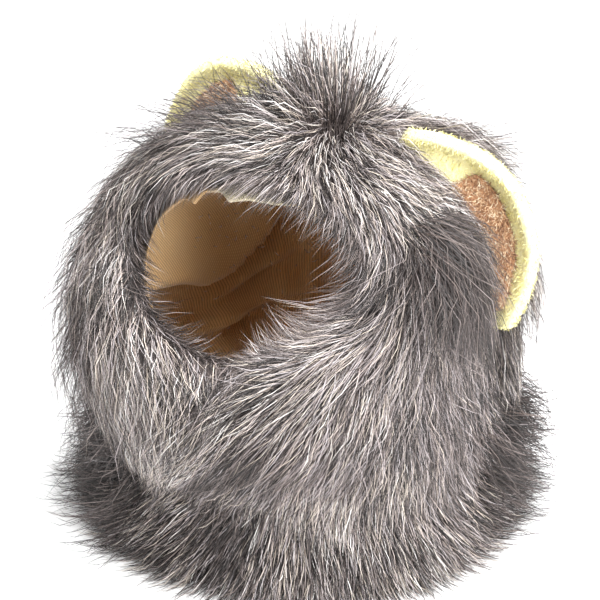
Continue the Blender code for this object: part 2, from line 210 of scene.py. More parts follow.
def fabricTube(name, rings, columns, place):  # a grid bent round the hood and closed along the chin's middle
    bpy.ops.object.select_all(action="DESELECT")
    bpy.ops.mesh.primitive_grid_add(x_subdivisions=columns, y_subdivisions=len(rings) - 1, size=1)
    piece = bpy.context.object
    piece.name = piece.data.name = name
    flat = np.empty(len(piece.data.vertices) * 3)
    piece.data.vertices.foreach_get("co", flat)
    flat = flat.reshape(-1, 3)
    rows = np.rint((0.5 - flat[:, 1]) * (len(rings) - 1)).astype(int)
    angle = (flat[:, 0] + 0.5) * 2 * math.pi
    piece.data.vertices.foreach_set("co", place(np.asarray(rings)[rows], angle).ravel())
    bpy.ops.object.mode_set(mode="EDIT")
    bpy.ops.mesh.select_all(action="SELECT")
    bpy.ops.mesh.remove_doubles(threshold=0.00001)
    bpy.ops.object.mode_set(mode="OBJECT")
    return piece


# ---- fur: strands of faux fur pile, each a flat fibre that tapers to its tip

pile = {  # mm, unless it says otherwise
    "strands": 116000,  # in all
    "segments": 3,  # in each strand
    "width": 0.31,  # a real fibre is 0.08, which would be lost at this size
    "stand": (6, 16),  # how far off the backing a strand's tip stands
    "reach": (15, 30),  # how far a strand runs along the backing
    "rootHeight": 3.0,  # roots are hidden in the underfur
    "clumps": 9000, "clumping": 0.06,  # tips are drawn to their clump's tip by this share
    "yaw": 0.16, "clumpYaw": 0.2, "swirl": 0.16,  # radians
    "curl": 0.7,
    "parting": 46, "partingPull": 1.1,
    "guideReach": 13, "guideFree": 0.04,  # how far a comb guide turns the pile, and the usual comb's share
    "rimPress": (0.45, 0.4), "rimRings": 0.7,  # shares that height and reach lose at the face opening's edge
    "rimPaintedShade": 0.6, "rimPaintedShadeRings": 0.5,  # and the tone that the pile keeps there
    # where it stands tall: ring, angle, radius and height in mm; the crest, and the fur behind the left ear
    "tallSpots": ((2.3, 178, 34, 42), (3.9, 150, 40, 46)),
    "hemPile": 31,  # and how high the longest strands stand at the hem
    "tallUpright": 0.35, "hemUpright": 0.6,  # shares of their reach that strands lose in those two
    "creasePress": 0.5, "creaseWidth": 55, "creaseRise": 15,  # the pile is pressed flat under the chin
    "earTrim": 0.65, "earTrimReach": 30,  # and is shorter in front of the ears
    # where the pile is pressed flatter, and painted shade darkens its strands: ring, angle, size in mm, share
    # (below 0 the pile stands higher and is paler)
    "pressedAndPaintedShadeSpots": (
        (6.1, 334, 6, 0.7), (6.8, 323, 4, 0.6), (7.2, 333, 4, 0.5), (6.6, 356, 5, 0.6), (5.4, 2, 4, 0.7),
        (4.4, 8, 5, 0.8), (3.8, 15, 5, 0.8), (3.6, 20, 5, 0.9), (3.8, 27, 5, 0.8), (4.3, 35, 5, 0.8),
        (5.0, 44, 6, 0.7), (8.0, 0, 6, 0.7), (8.4, 6, 6, 0.7), (0.1, 20, 7, 0.6), (0.9, 101, 4, 0.4),
        (2.9, 97, 5, 0.45), (3.4, 92, 4, 0.35), (4.4, 78, 28, 0.26), (7.0, 82, 28, 0.3), (1.5, 66, 20, 0.15),
        (4.6, 22, 14, 0.25), (1.4, 196, 26, -0.12),
    ),
    "darkPress": 0.5, "paintedShadeRise": 8,  # the share of height it loses there, and how far off the backing they lie
    "darkShare": 0.48, "darkTone": (0.02, 0.06), "paleTone": (0.66, 0.17),  # share of strands; middle, spread
    "darkPatches": 0.12, "tonePatches": 0.05, "toneClumps": 0.04,  # how far share and tone vary over the fur
}
combGuides = (  # ring, angle, and the way the pile lies there: 0 is down the fabric, 90 towards growing angles
    (2.1, 171, 49), (2.8, 172, 43), (2.4, 182, 59), (1.5, 177, 105), (1.4, 168, -171), (1.5, 161, -134),
    (2.1, 162, -97), (3.0, 164, -60), (3.2, 153, -80), (1.7, 193, 75), (1.0, 194, 90),
    (1.2, 212, 91), (0.3, 188, 116), (0.9, 227, 91), (0.2, 167, 174), (0.0, 183, 136), (0.0, 209, 143),
    (0.0, 238, 125), (0.8, 266, 93), (0.1, 283, 100), (1.0, 287, 85), (0.7, 309, 81), (1.9, 312, 57),
    (0.1, 317, 94), (0.0, 341, 80), (0.3, 6, 64), (1.7, 333, 40), (1.7, 346, 5), (1.6, 2, -40),
    (1.1, 23, -72), (0.8, 44, -114), (0.7, 71, -149), (0.9, 90, -130), (0.4, 113, -106), (1.8, 143, -52),
    (1.2, 157, -68), (0.0, 154, -140), (0.0, 142, -112), (0.9, 130, -80), (1.9, 122, -42), (2.1, 108, -41),
    (1.0, 102, -84), (1.9, 91, -47), (3.5, 91, -19), (1.8, 62, -33), (2.2, 46, -30), (2.5, 27, -45),
    (2.5, 7, -38), (4.2, 51, -17), (4.6, 68, 2), (6.5, 94, 25), (5.7, 36, -16), (6.0, 16, -39),
    (6.2, 358, -49), (6.7, 55, 9), (8.1, 79, 33), (3.2, 340, 9),
    (7.2, 317, -59), (8.9, 317, -58), (9.8, 323, -53), (9.5, 350, -39), (9.3, 10, -21), (7.2, 103, 65),
    (8.7, 102, 58), (10.0, 91, 42), (9.8, 68, 13),
)
looseHair = {  # mm: stray fibres that stand out of the pile
    "segments": 3, "width": 0.3, "curl": 1.1, "yaw": 0.4,
    "spots": (  # strands, first and last ring, first and last angle, stand, reach, tone's middle and spread
        (2400, 0.4, 10.0, 0, 360, (14, 27), (14, 32), (0.2, 0.2)),
        (500, 1.2, 4.5, 262, 312, (16, 30), (20, 38), (0.15, 0.15)),  # at the right side
        (260, 1.0, 2.4, 190, 240, (24, 42), (20, 34), (0.12, 0.12)),  # before the right ear
        (1200, 1.3, 2.8, 96, 120, (17, 34), (22, 38), (0.12, 0.15)),  # over the left ear's panel
        (1800, 8.2, 10.0, 270, 450, (14, 28), (16, 34), (0.15, 0.18)),  # at the front of the hem
        (6500, 2.2, 4.6, 112, 160, (12, 27), (16, 36), (0.4, 0.32)),  # behind the left ear
        (1300, 2.4, 4.6, 92, 146, (16, 27), (30, 50), (0.12, 0.15)),
        (420, 1.6, 3.0, 160, 192, (28, 52), (8, 26), (0.15, 0.15)),  # on the crest
        (1200, 6.4, 8.8, 88, 128, (18, 34), (16, 40), (0.15, 0.15)),  # low at each side
        (1900, 6.0, 9.4, 286, 336, (18, 34), (16, 40), (0.12, 0.15)),
        (600, 6.6, 9.9, 282, 340, (24, 46), (20, 40), (0.1, 0.12)),  # wisps that stand far out
        (450, 6.6, 9.9, 92, 132, (24, 44), (20, 40), (0.1, 0.12)),
        (1500, 0.8, 3.6, 196, 318, (13, 24), (20, 38), (0.2, 0.2)),  # at the right temple and cheek
        (340, 0.0, 0.5, 28, 92, (3, 12), (24, 44), (0.6, 0.15)),  # over the lower edge of the face opening
    ),
}
rimHair = {  # mm: fibres that lean in over the edge of the face opening
    "strands": 12000, "segments": 3, "width": 0.28, "rings": 0.6, "stand": (1.5, 7), "reach": (7, 14),
    "curl": 0.7, "yaw": 0.35, "toneSpread": 0.2,
    # angle round the opening, share of the reach, pull into the opening against the comb, tone's middle
    "inward": (
        (0, 0.9, 0.7, 0.15), (30, 1.2, 0.9, 0.3), (50, 1.7, 0.9, 0.4), (75, 1.6, 0.7, 0.35),
        (100, 1.3, 0.6, 0.2), (150, 0.9, 0.6, 0.15), (200, 0.8, 0.5, 0.25), (240, 0.9, 0.6, 0.15),
        (290, 1.1, 0.8, 0.1), (320, 1.0, 0.6, 0.1), (360, 0.9, 0.7, 0.15),
    ),
}
room = {  # mm: where strands may go
    "floor": 0.6, "floorBend": 0.8, "floorFlatten": 0.97, "lowest": 0.3,  # they bend out along the floor
    "share": 0.03, "proud": 9,  # and stand this far out of the CAD model's box, a share of its side more
    "earGap": 0.9,  # the share of its length that a strand keeps where it meets an ear
}

furTones = (  # from the darkest to the palest strand
    (0.00, "#14100f"), (0.12, "#332b2a"), (0.24, "#564c4a"), (0.36, "#80746f"), (0.48, "#a3999a"),
    (0.57, "#b3adb0"), (0.66, "#cdbfb9"), (0.76, "#dacebf"), (0.87, "#e6e3e2"), (1.00, "#fffdfa"),
)


def furMaterial():
    # Modacrylic faux fur: extruded fibres, dyed in several tones before they are knitted in, softly glossy.
    material, tree, shader = newMaterial("modacrylicFur", Roughness=0.55, IOR=1.52, Metallic=0.0)
    place = addNode(tree, "UVMap", uv_map="OFBake")
    axes = addNode(tree, "SeparateXYZ", {"Vector": place.outputs["UV"]})
    tone = addNode(tree, "ValToRGB", {"Fac": axes.outputs["X"]}, stops=furTones)
    # painted shade: each strand is darker toward its root, deep in the pile
    paintedRootShade = (0.0, "#6e6460"), (0.3, "#cdc6c2"), (0.6, "#ffffff"), (1.0, "#f2eeea")
    along = addNode(tree, "ValToRGB", {"Fac": axes.outputs["Y"]}, stops=paintedRootShade)
    colour = addNode(tree, "MixRGB", {
        "Fac": 1.0, "Color1": tone.outputs["Color"], "Color2": along.outputs["Color"]}, blend_type="MULTIPLY")
    tree.links.new(colour.outputs["Color"], shader.inputs["Base Color"])
    return material


def scatterOnFabric(count, rng, firstRing=0.0, lastRing=float(hemRing), firstAngle=0.0, lastAngle=math.tau):
    # roots spread evenly over the fabric: fine cells are picked by their area, and a place in each at random
    ringCells, angleCells = 120, 240
    ring = firstRing + (np.arange(ringCells) + 0.5) / ringCells * (lastRing - firstRing)
    angle = firstAngle + (np.arange(angleCells) + 0.5) / angleCells * (lastAngle - firstAngle)
    ring, angle = (grid.ravel() for grid in np.meshgrid(ring, angle, indexing="ij"))
    along, around, _ = fabricSlopes(ring, angle)
    area = np.linalg.norm(np.cross(along, around), axis=-1)
    picked = np.searchsorted(np.cumsum(area) / area.sum(), np.sort(rng.uniform(size=count)))
    picked = np.minimum(picked, len(ring) - 1)
    ring = ring[picked] + rng.uniform(-0.5, 0.5, count) * (lastRing - firstRing) / ringCells
    angle = angle[picked] + rng.uniform(-0.5, 0.5, count) * (lastAngle - firstAngle) / angleCells
    return ring, angle


def guideWays():  # where the comb guides lie, and the way that each combs
    ring, angle, heading = np.array(combGuides).T
    angle, heading = np.radians(angle), np.radians(heading)[:, None]
    along, _, normal = fabricSlopes(ring, angle)
    down = unit(along)
    return fabricAt(ring, angle), down * np.cos(heading) + np.cross(normal, down) * np.sin(heading)


def combAt(points, normals, inward=0.0):
    # the fur is combed down, to each side of the parting over the brow, and as the comb guides say near them
    parting = smoothStep((points[:, 2] - chinZ) / (browZ - chinZ))
    side = np.clip(2 * (points[:, 0] - neckX) / (pile["parting"] * mm), -1, 1)
    pull = np.zeros(points.shape)
    pull[:, 0] = pile["partingPull"] * side * parting
    pull[:, 2] = -1
    pull, near = pile["guideFree"] * unit(pull), np.full(len(points), pile["guideFree"])
    for place, way in zip(*guideWays()):
        weight = np.exp(-((points - place) ** 2).sum(-1) / (pile["guideReach"] * mm) ** 2)
        pull += weight[:, None] * way
        near += weight
    agree = np.linalg.norm(pull, axis=-1) / near
    pull = unit(pull) - np.reshape(inward, (-1, 1)) * unit(points - faceMiddle)
    pull -= normals * (pull * normals).sum(-1, keepdims=True)
    return unit(pull), smoothStep(0.25 + agree)


def layStrands(ring, angle, stand, reach, yaw, segments, inward):
    # each strand rises off the backing and turns along the way that it is combed
    root, rootHeight = fabricAt(ring, angle), pile["rootHeight"] * mm
    along, around, normal = fabricSlopes(ring, angle)
    comb, agree = combAt(root, normal, inward)
    reach = reach * agree  # the pile stands up where it parts
    way = comb * np.cos(yaw)[:, None] + np.cross(normal, comb) * np.sin(yaw)[:, None]
    aa, bb, ab = (along**2).sum(-1), (around**2).sum(-1), (along * around).sum(-1)
    wa, wb = (way * along).sum(-1), (way * around).sum(-1)
    spread = aa * bb - ab**2
    ringStep, angleStep = (wa * bb - wb * ab) / spread, (wb * aa - wa * ab) / spread
    points = np.empty((len(ring), segments + 1, 3))
    for k in range(segments + 1):
        part = k / segments
        run = reach * part**1.5
        here, turn = ring + ringStep * run, angle + angleStep * run
        up = fabricSlopes(here, turn)[2]
        height = rootHeight + (stand - rootHeight) * math.sin(part * math.pi / 2)
        points[:, k] = fabricAt(here, turn) + up * height[:, None]
    return points, normal


def keepInBounds(points):
    # strands bend out along the floor, and none passes the room that fabric has round the CAD model
    below = np.minimum(points[..., 2] - room["floor"] * mm, 0)
    outward = unit(points[..., :2] - np.array((neckX, neckY)))
    points[..., :2] -= outward * below[..., None] * room["floorBend"]
    points[..., 2] -= below * room["floorFlatten"]
    low, high = (np.array(corner) for corner in cadBox)
    spare = (high - low) * room["share"] + room["proud"] * mm
    low, high = low - spare, high + spare
    root = points[:, :1]
    step = points - root
    with np.errstate(divide="ignore", invalid="ignore"):
        share = np.where(step > 0, (high - root) / step, np.where(step < 0, (low - root) / step, 9))
    keep = np.clip(share.min(axis=(1, 2)), 0.05, 1)[:, None, None]
    points[:] = root + step * keep
    points[..., 2] = np.maximum(points[..., 2], room["lowest"] * mm)


def strandMesh(name, points, facing, width, tone, material, rng, taper=(1.0, 1.0, 0.86, 0.62)):
    # every strand is a ribbon of quads with a triangle at its tip; its tone is its place across the UV map
    count, knots = points.shape[:2]
    segments = knots - 1
    run = unit(np.gradient(points, axis=1))
    side = unit(np.cross(run, np.broadcast_to(facing[:, None], points.shape)))
    twist = rng.uniform(-0.9, 0.9, (count, 1, 1))
    side = side * np.cos(twist) + np.cross(run, side) * np.sin(twist)
    places, stops = (np.linspace(0, 1, count, endpoint=False) for count in (segments, len(taper)))
    half = (width[:, None] / 2 * np.interp(places, stops, taper))[..., None]
    corners = np.empty((count, 2 * segments + 1, 3))
    corners[:, 0:-1:2] = points[:, :-1] - side[:, :-1] * half
    corners[:, 1:-1:2] = points[:, :-1] + side[:, :-1] * half
    corners[:, -1] = points[:, -1]
    ribbon = [corner for k in range(segments - 1) for corner in (2 * k, 2 * k + 1, 2 * k + 3, 2 * k + 2)]
    ribbon += [2 * segments - 2, 2 * segments - 1, 2 * segments]
    ribbon = np.array(ribbon)
    loops = (ribbon[None] + np.arange(count)[:, None] * (2 * segments + 1)).ravel()
    starts = np.arange(segments) * 4
    starts = (starts[None] + np.arange(count)[:, None] * len(ribbon)).ravel()
    mesh = bpy.data.meshes.new(name)
    mesh.vertices.add(corners.shape[0] * corners.shape[1])
    mesh.vertices.foreach_set("co", corners.ravel())
    mesh.loops.add(len(loops))
    mesh.loops.foreach_set("vertex_index", loops.astype(np.int32))
    mesh.polygons.add(len(starts))
    mesh.polygons.foreach_set("loop_start", starts.astype(np.int32))
    mesh.update(calc_edges=True)
    columns = 32  # a strand takes one column's width of the map
    across = np.tile((0.0, 1.0), segments).tolist() + [0.5]
    up = np.repeat(np.arange(segments) / segments, 2).tolist() + [1.0]
    u = np.clip(tone, 0, 1)[:, None] * (columns - 1) / columns + np.array(across)[ribbon][None] / columns
    v = np.broadcast_to(np.array(up)[ribbon][None], u.shape)
    mesh.uv_layers.new(name="OFBake").data.foreach_set("uv", np.stack((u, v), -1).ravel())
    mesh.shade_smooth()
    mesh.materials.append(material)
    piece = bpy.data.objects.new(name, mesh)
    bpy.context.scene.collection.objects.link(piece)
    return piece


def findEarSeams():  # places on the fabric where the ears are sewn on
    ring, angle = np.meshgrid(np.arange(0.5, 6, 0.1), np.radians(np.arange(60, 300, 2.5)))
    places = fabricAt(ring.ravel(), angle.ravel())
    seams = []
    for ear in ("ear_left", "ear_right"):
        tree = KDTree(len(frame["nodes"][ear].data.vertices))
        for vertex in frame["nodes"][ear].data.vertices:
            tree.insert(vertex.co, vertex.index)
        tree.balance()
        seams += [place for place in places if tree.find(place)[2] < 4 * mm]
    return np.array(seams)


earSeams = findEarSeams()


def apartFrom(points, ring, angle, size, rise=0):  # from a place over the fabric, as shares of size; both in mm
    angle = math.radians(angle)
    place = fabricAt(ring, angle) + fabricSlopes(ring, angle)[2] * rise * mm
    return np.linalg.norm(points - place, axis=-1) / (size * mm)


def tallAt(root):  # how near the pile is to a place where it stands tall, and the height in mm that it gains
    share, height = np.zeros(len(root)), np.zeros(len(root))
    for ring, angle, radius, tall in pile["tallSpots"]:
        near = smoothStep(1 - apartFrom(root, ring, angle, radius))
        share, height = np.maximum(share, near), np.maximum(height, near**2 * (tall - pile["stand"][1]))
    return share, height


def pileShare(root, ring):  # how much of its height the pile keeps, and of its reach
    crease = np.hypot((root[:, 0] - neckX) / pile["creaseWidth"],
                      (root[:, 2] - hood["collarHeight"] * mm) / pile["creaseRise"])
    share = 1 - pile["creasePress"] * np.exp(-((crease / mm) ** 2)) * (root[:, 1] < neckY)
    before = np.full(len(root), 1.0)  # metres to the nearest ear's seam, for what is in front of it
    for seam in earSeams:
        before = np.minimum(before, np.linalg.norm(root - seam, axis=-1) + (root[:, 1] > seam[1]))
    trimmed = pile["earTrim"] * np.exp(-((before / pile["earTrimReach"] / mm) ** 2))
    share *= 1 - trimmed * (1 - tallAt(root)[0])
    for spotRing, spotAngle, size, depth in pile["pressedAndPaintedShadeSpots"]:
        share *= 1 - pile["darkPress"] * depth * np.exp(-(apartFrom(root, spotRing, spotAngle, size) ** 2))
    rim = np.exp(-((ring / pile["rimRings"]) ** 2))
    return share * (1 - pile["rimPress"][0] * rim), np.sqrt(share) * (1 - pile["rimPress"][1] * rim)


def settle(rng, ring, angle, kind, yaw):  # strands of one kind, from the places of their roots
    root = fabricAt(ring, angle)
    share = rng.uniform(size=len(ring))
    tall, extra = tallAt(root)
    splay = smoothStep(1.1 - root[:, 2] / (hood["collarHeight"] * mm))
    low, high = kind["stand"]
    stand = low + (high - low) * share
    near, far = kind["reach"]
    reach = near + (far - near) * rng.uniform(size=len(ring))
    inward = 0.0
    if kind is rimHair:
        degrees, longer, pull, _ = np.array(rimHair["inward"]).T
        reach *= np.interp(np.degrees(angle), degrees, longer)
        inward = np.interp(np.degrees(angle), degrees, pull)
    else:
        stand += share * extra * (kind is pile) + splay * share * max(pile["hemPile"] - high, 0)
        reach *= 1 - np.maximum(pile["tallUpright"] * tall, pile["hemUpright"] * splay)
        keptStand, keptReach = pileShare(root, ring)
        stand, reach = stand * keptStand, reach * keptReach
    turn = rng.normal(0, yaw, len(ring)) + pile["swirl"] * ripple(root, 0.07, 3)
    points, normal = layStrands(ring, angle, stand * mm, reach * mm, turn, kind["segments"], inward)
    part = np.linspace(0, 1, kind["segments"] + 1)[None, :, None]
    points += rng.normal(0, kind["curl"] * mm, points.shape) * part**0.6
    return points, normal


def drawToClumps(rng, points, ring, angle):
    guideRing, guideAngle = scatterOnFabric(pile["clumps"], rng)
    guides, _ = settle(rng, guideRing, guideAngle, pile, pile["clumpYaw"])
    tree = KDTree(len(guides))
    for k, point in enumerate(fabricAt(guideRing, guideAngle)):
        tree.insert(point, k)
    tree.balance()
    root = fabricAt(ring, angle)
    nearest = np.array([tree.find(point)[1] for point in root])
    splay = smoothStep(1.3 - root[:, 2] / (hood["collarHeight"] * mm))
    drawn = (pile["clumping"] * (1 + 2 * splay))[:, None, None]
    drawn = drawn * rng.uniform(0.2, 1.3, (len(points), 1, 1))
    part = np.linspace(0, 1, points.shape[1])[None, :, None]
    points += (guides[nearest] - points) * np.clip(drawn, 0, 0.95) * part**1.3
    return rng.normal(size=len(guides))[nearest]  # a chance value that a clump's strands share


def growFur(ears):
    rng = np.random.RandomState(7)
    material = furMaterial()
    ring, angle = scatterOnFabric(pile["strands"], rng)
    points, normal = settle(rng, ring, angle, pile, pile["yaw"])
    clump = drawToClumps(rng, points, ring, angle)
    keepInBounds(points)
    keepOffEars(points, ears)
    root = fabricAt(ring, angle)
    dark = rng.uniform(size=len(points)) < pile["darkShare"] - pile["darkPatches"] * ripple(root, 0.05, 11)
    tone = np.where(dark, *(rng.normal(*pile[key], len(points)) for key in ("darkTone", "paleTone")))
    tone += pile["tonePatches"] * ripple(root, 0.014, 12) + pile["toneClumps"] * clump
    # painted shade: the pile's strands are darkened toward the face opening's edge
    tone *= pile["rimPaintedShade"] + (1 - pile["rimPaintedShade"]) * smoothStep(ring / pile["rimPaintedShadeRings"])
    # painted shade: strands near these spots are darkened, more the deeper the spot; below 0 they are made
    # paler
    for spotRing, spotAngle, size, depth in pile["pressedAndPaintedShadeSpots"]:
        apart = apartFrom(points[:, 1:], spotRing, spotAngle, size, pile["paintedShadeRise"]).min(1)
        tone *= 1 - depth * np.exp(-(apart**2))
    width = pile["width"] * mm * rng.uniform(0.7, 1.25, len(points))
    side, crownRing, crownHalf, cheekHalf = np.abs(angle - math.pi), 4.2, 1.0, 1.9  # rings and radians
    regions = {
        "crownFur": (ring < crownRing) & (side < crownHalf),
        "templeFur": (ring < crownRing) & (side >= crownHalf) & (side < cheekHalf),
        "chinFur": (ring < seamRing) & (side >= cheekHalf),
        "napeFur": (ring >= crownRing) & (ring < seamRing) & (side < cheekHalf),
        "collarFrontFur": (ring >= seamRing) & (np.cos(angle) > 0),
        "collarBackFur": (ring >= seamRing) & (np.cos(angle) <= 0),
    }
    for name, chosen in regions.items():
        piece = strandMesh(name, points[chosen], normal[chosen], width[chosen], tone[chosen], material, rng)
        declare(piece, "fur", "collar_fur" if name.startswith("collar") else "hood_fur")
        print(name, int(chosen.sum()), "strands")

    laid = []
    for count, firstRing, lastRing, firstAngle, lastAngle, stand, reach, tone in looseHair["spots"]:
        firstAngle, lastAngle = math.radians(firstAngle), math.radians(lastAngle)
        ring, angle = scatterOnFabric(count, rng, firstRing, lastRing, firstAngle, lastAngle)
        hair = settle(rng, ring, angle, {**looseHair, "stand": stand, "reach": reach}, looseHair["yaw"])
        laid.append((*hair, rng.normal(*tone, count)))
    points, normal, tone = (np.concatenate(parts) for parts in zip(*laid))
    keepInBounds(points)
    keepOffEars(points, ears)
    width = np.full(len(points), looseHair["width"] * mm)
    declare(strandMesh("looseHair", points, normal, width, tone, material, rng), "fur", "hood_fur")

    ring, angle = scatterOnFabric(rimHair["strands"], rng, 0.0, rimHair["rings"])
    points, normal = settle(rng, ring, angle, rimHair, rimHair["yaw"])
    keepInBounds(points)
    degrees, _, _, middle = np.array(rimHair["inward"]).T
    tone = rng.normal(np.interp(np.degrees(angle), degrees, middle), rimHair["toneSpread"])
    width = np.full(len(points), rimHair["width"] * mm)
    declare(strandMesh("rimHair", points, normal, width, tone, material, rng), "fur", "hood_fur")
    print("loose and rim hair")
    layLint(rng, material)


def layLint(rng, material):  # shed fibres lie on the lining, each bowed up in its middle
    ring, angle = (rng.uniform(*lint[key], lint["strands"]) for key in ("rings", "angles"))
    angle = np.radians(angle)
    up = fabricSlopes(ring, angle)[2]
    start = liningAt(ring, angle) - up * (hood["liningWall"] + lint["gap"]) * mm
    way = unit(rng.normal(size=start.shape))
    way = unit(way - up * (way * up).sum(-1, keepdims=True))
    way *= rng.uniform(*lint["length"], (len(start), 1)) * mm
    points = np.stack((start, start + way / 2 - up * lint["bow"] * mm, start + way), 1)
    tone, width = rng.normal(*lint["tone"], len(start)), np.full(len(start), looseHair["width"] * mm)
    declare(strandMesh("liningLint", points, up, width, tone, material, rng), "fur", "hood_fur")
    print("lint")


def keepOffEars(points, ears):  # a strand that meets an ear ends just short of it
    pads = [BVHTree.FromPolygons([v.co for v in ear.data.vertices],
                                 [tuple(p.vertices) for p in ear.data.polygons]) for ear in ears]
    margin = 0.03  # metres round each ear in which strands are tried
    boxes = [(np.array(low) - margin, np.array(high) + margin)
             for low, high in map(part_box, ("ear_left", "ear_right"))]
    tips = points[:, -1]
    for pad, (low, high) in zip(pads, boxes):
        near = np.nonzero(((tips > low) & (tips < high)).all(-1))[0]
        for k in near:
            strand = [Vector(point) for point in points[k]]
            for j in range(len(strand) - 1):
                step = strand[j + 1] - strand[j]
                hit = pad.ray_cast(strand[j], step, step.length)
                if hit[0] is not None:
                    share = (j + hit[3] / step.length) / (len(strand) - 1)
                    keep = max(share * room["earGap"], 0.15)
                    points[k] = points[k][0] + (points[k] - points[k][0]) * keep
                    break


# ---- underfur: the dense short fibres at the backing, seen only between strands

underfur = {  # mm
    "height": 5.5, "wall": 3.5, "lumps": 1.2, "columns": 120,
}


def underfurMaterial():
    # Short crimped modacrylic fibres packed at the knitted backing, dyed dark brown, matt.
    material, tree, shader = newMaterial("crimpedUnderfur", Roughness=0.85, IOR=1.5)
    place = addNode(tree, "TexCoord")
    grain = addNode(tree, "TexNoise", {"Vector": place.outputs["Object"], "Scale": 1400, "Detail": 3})
    patch = addNode(tree, "TexNoise", {"Vector": place.outputs["Object"], "Scale": 90, "Detail": 2})
    fine = addNode(tree, "ValToRGB", {"Fac": grain.outputs["Fac"]}, stops=((0.3, "#1e1918"), (0.7, "#5e5350")))
    broad = addNode(tree, "ValToRGB", {"Fac": patch.outputs["Fac"]},
                    stops=((0.35, "#2e2625"), (0.65, "#554a47")))
    colour = addNode(tree, "MixRGB", {
        "Fac": 0.5, "Color1": fine.outputs["Color"], "Color2": broad.outputs["Color"]})
    bump = addNode(tree, "Bump", {"Height": grain.outputs["Fac"], "Strength": 0.8, "Distance": 0.001})
    tree.links.new(colour.outputs["Color"], shader.inputs["Base Color"])
    tree.links.new(bump.outputs["Normal"], shader.inputs["Normal"])
    return material


def makeUnderfur(name, firstRing, lastRing, node, material):
    def place(ring, angle):
        point, normal = fabricAt(ring, angle), fabricSlopes(ring, angle)[2]
        edge = smoothStep(ring / 0.35) * smoothStep((hemRing - ring) / 0.25)
        height = 0.3 + edge * pileShare(point, ring)[0] * (
            underfur["height"] + underfur["lumps"] * ripple(point, 0.012, 5))
        return point + normal * height[:, None] * mm
    count = round((lastRing - firstRing) * 10)
    piece = fabricTube(name, np.linspace(firstRing, lastRing, count + 1), underfur["columns"], place)
    wall = piece.modifiers.new("wall", "SOLIDIFY")
    wall.thickness, wall.offset = underfur["wall"] * mm, -1
    applyModifiers(piece)
    piece.data.materials.append(material)
    piece.data.shade_smooth()
    declare(piece, "fur", node)
    return piece


underfurFinish = underfurMaterial()
hoodUnderfur = makeUnderfur("hoodUnderfur", 0.0, seamRing, "hood_fur", underfurFinish)
collarUnderfur = makeUnderfur("collarUnderfur", seamRing, hemRing - 0.03, "collar_fur", underfurFinish)
print("underfur")


# ---- lining: slack knitted cloth, sewn in at the face opening and hanging loose inside

lining = {  # mm, degrees and rings
    # how far the cloth turns out over the edge of the face opening: angle, mm
    "lip": ((0, 1.0), (158, 1.5), (170, 5.0), (184, 6.0), (195, 8.5), (203, 3.0), (214, 2.0), (222, 7.0),
            (231, 2.0), (260, 0.8), (360, 1.0)),
    "gathers": 12, "gatherDepth": 0.7, "columns": 180, "hemRise": 2.5,
    "sagDepth": 24, "sagFirst": -0.1, "sagPower": 0.95, "sagAngle": 246, "sagSpread": 47,
    # the sag's lower edge, as angle and ring, and the rings in which the cloth turns back under it
    "sagEdge": ((190, 4.0), (208, 4.4), (229, 4.95), (246, 5.25), (262, 5.1), (280, 4.2), (295, 3.2)),
    "sagReturn": 0.3,
    "waleSpacing": 1.3, "waleTurn": -4,  # at the hood's full girth, and closer toward the opening
    "cutArea": 0.068,  # square metres, before it is sewn in
}
lint = {  # shed fibres that cling to the lining: mm, and the rings, degrees and tones between which they lie
    "strands": 260, "rings": (3.5, 8.0), "angles": (192, 262), "gap": 0.3, "length": (1.0, 4.0), "bow": 0.8,
    "tone": (0.8, 0.15),
}
liningFolds = (  # angle where it starts, slant in degrees a ring, spread in degrees, depth in mm, its rings
    (158, -5.0, 11, 5.0, 2.2, 9.4),
    (203, 2.0, 6, 6.5, 4.2, 9.0),
    (221, -3.0, 5, 5.0, 5.4, 9.4),
    (186, 3.0, 5, 4.5, 3.6, 9.0),
    (244, 2.0, 6, 5.0, 5.8, 9.4),
    (112, -3.0, 13, 4.0, 1.8, 8.8),
    (306, 3.0, 15, 3.5, 3.0, 9.6),
    (60, 4.0, 10, 3.0, 1.5, 8.0),
    (20, -6.0, 9, 2.5, 1.0, 7.0),
)
liningCreases = (  # ring and degrees at its middle, rings a degree, spread in rings and in degrees, depth in mm
    (5.8, 230, 0.013, 0.2, 22, 12.0),
    (6.4, 238, 0.006, 0.18, 26, 14.0),
    (7.1, 232, 0.004, 0.22, 34, 12.0),
)


def liningAt(ring, angle):
    edge = np.maximum(ring, 0)
    inset = np.full(len(ring), hood["backing"] + hood["liningEase"])
    for start, slant, spread, depth, first, last in liningFolds:
        middle = np.radians(start + slant * (edge - first))
        apart = (angle - middle + math.pi) % (2 * math.pi) - math.pi
        show = np.sin(math.pi * np.clip((edge - first) / (last - first), 0, 1)) ** 0.7
        inset += depth * show * np.exp(-((apart / math.radians(spread)) ** 2))
    degrees = np.degrees(angle)
    for middle, start, slant, wide, spread, depth in liningCreases:
        apart = (edge - middle - slant * (degrees - start)) / wide
        inset += depth * np.exp(-(apart**2) - ((degrees - start) / spread) ** 2)
    sagEnd = np.interp(degrees, *zip(*lining["sagEdge"]))
    sag = np.clip((edge - lining["sagFirst"]) / (sagEnd - lining["sagFirst"]), 0, 1) ** lining["sagPower"]
    sag *= smoothStep((sagEnd + lining["sagReturn"] - edge) / lining["sagReturn"])
    inset += lining["sagDepth"] * sag * np.exp(-(((degrees - lining["sagAngle"]) / lining["sagSpread"]) ** 4))
    gather = np.exp(-(((edge - 0.6) / 0.6) ** 2)) * (1 + np.cos(lining["gathers"] * angle)) / 2
    inset += lining["gatherDepth"] * gather
    point = fabricAt(edge, angle) - fabricSlopes(edge, angle)[2] * inset[:, None] * mm
    unevenness = ripple(point, 0.02, 21) * 0.35 * smoothStep(edge / 2)
    point += fabricSlopes(edge, angle)[2] * unevenness[:, None] * mm
    past = np.maximum(-ring, 0) * np.interp(degrees, *zip(*lining["lip"]))
    return point + unit(fabricAt(0, angle) - fabricAt(0.25, angle)) * past[:, None] * mm


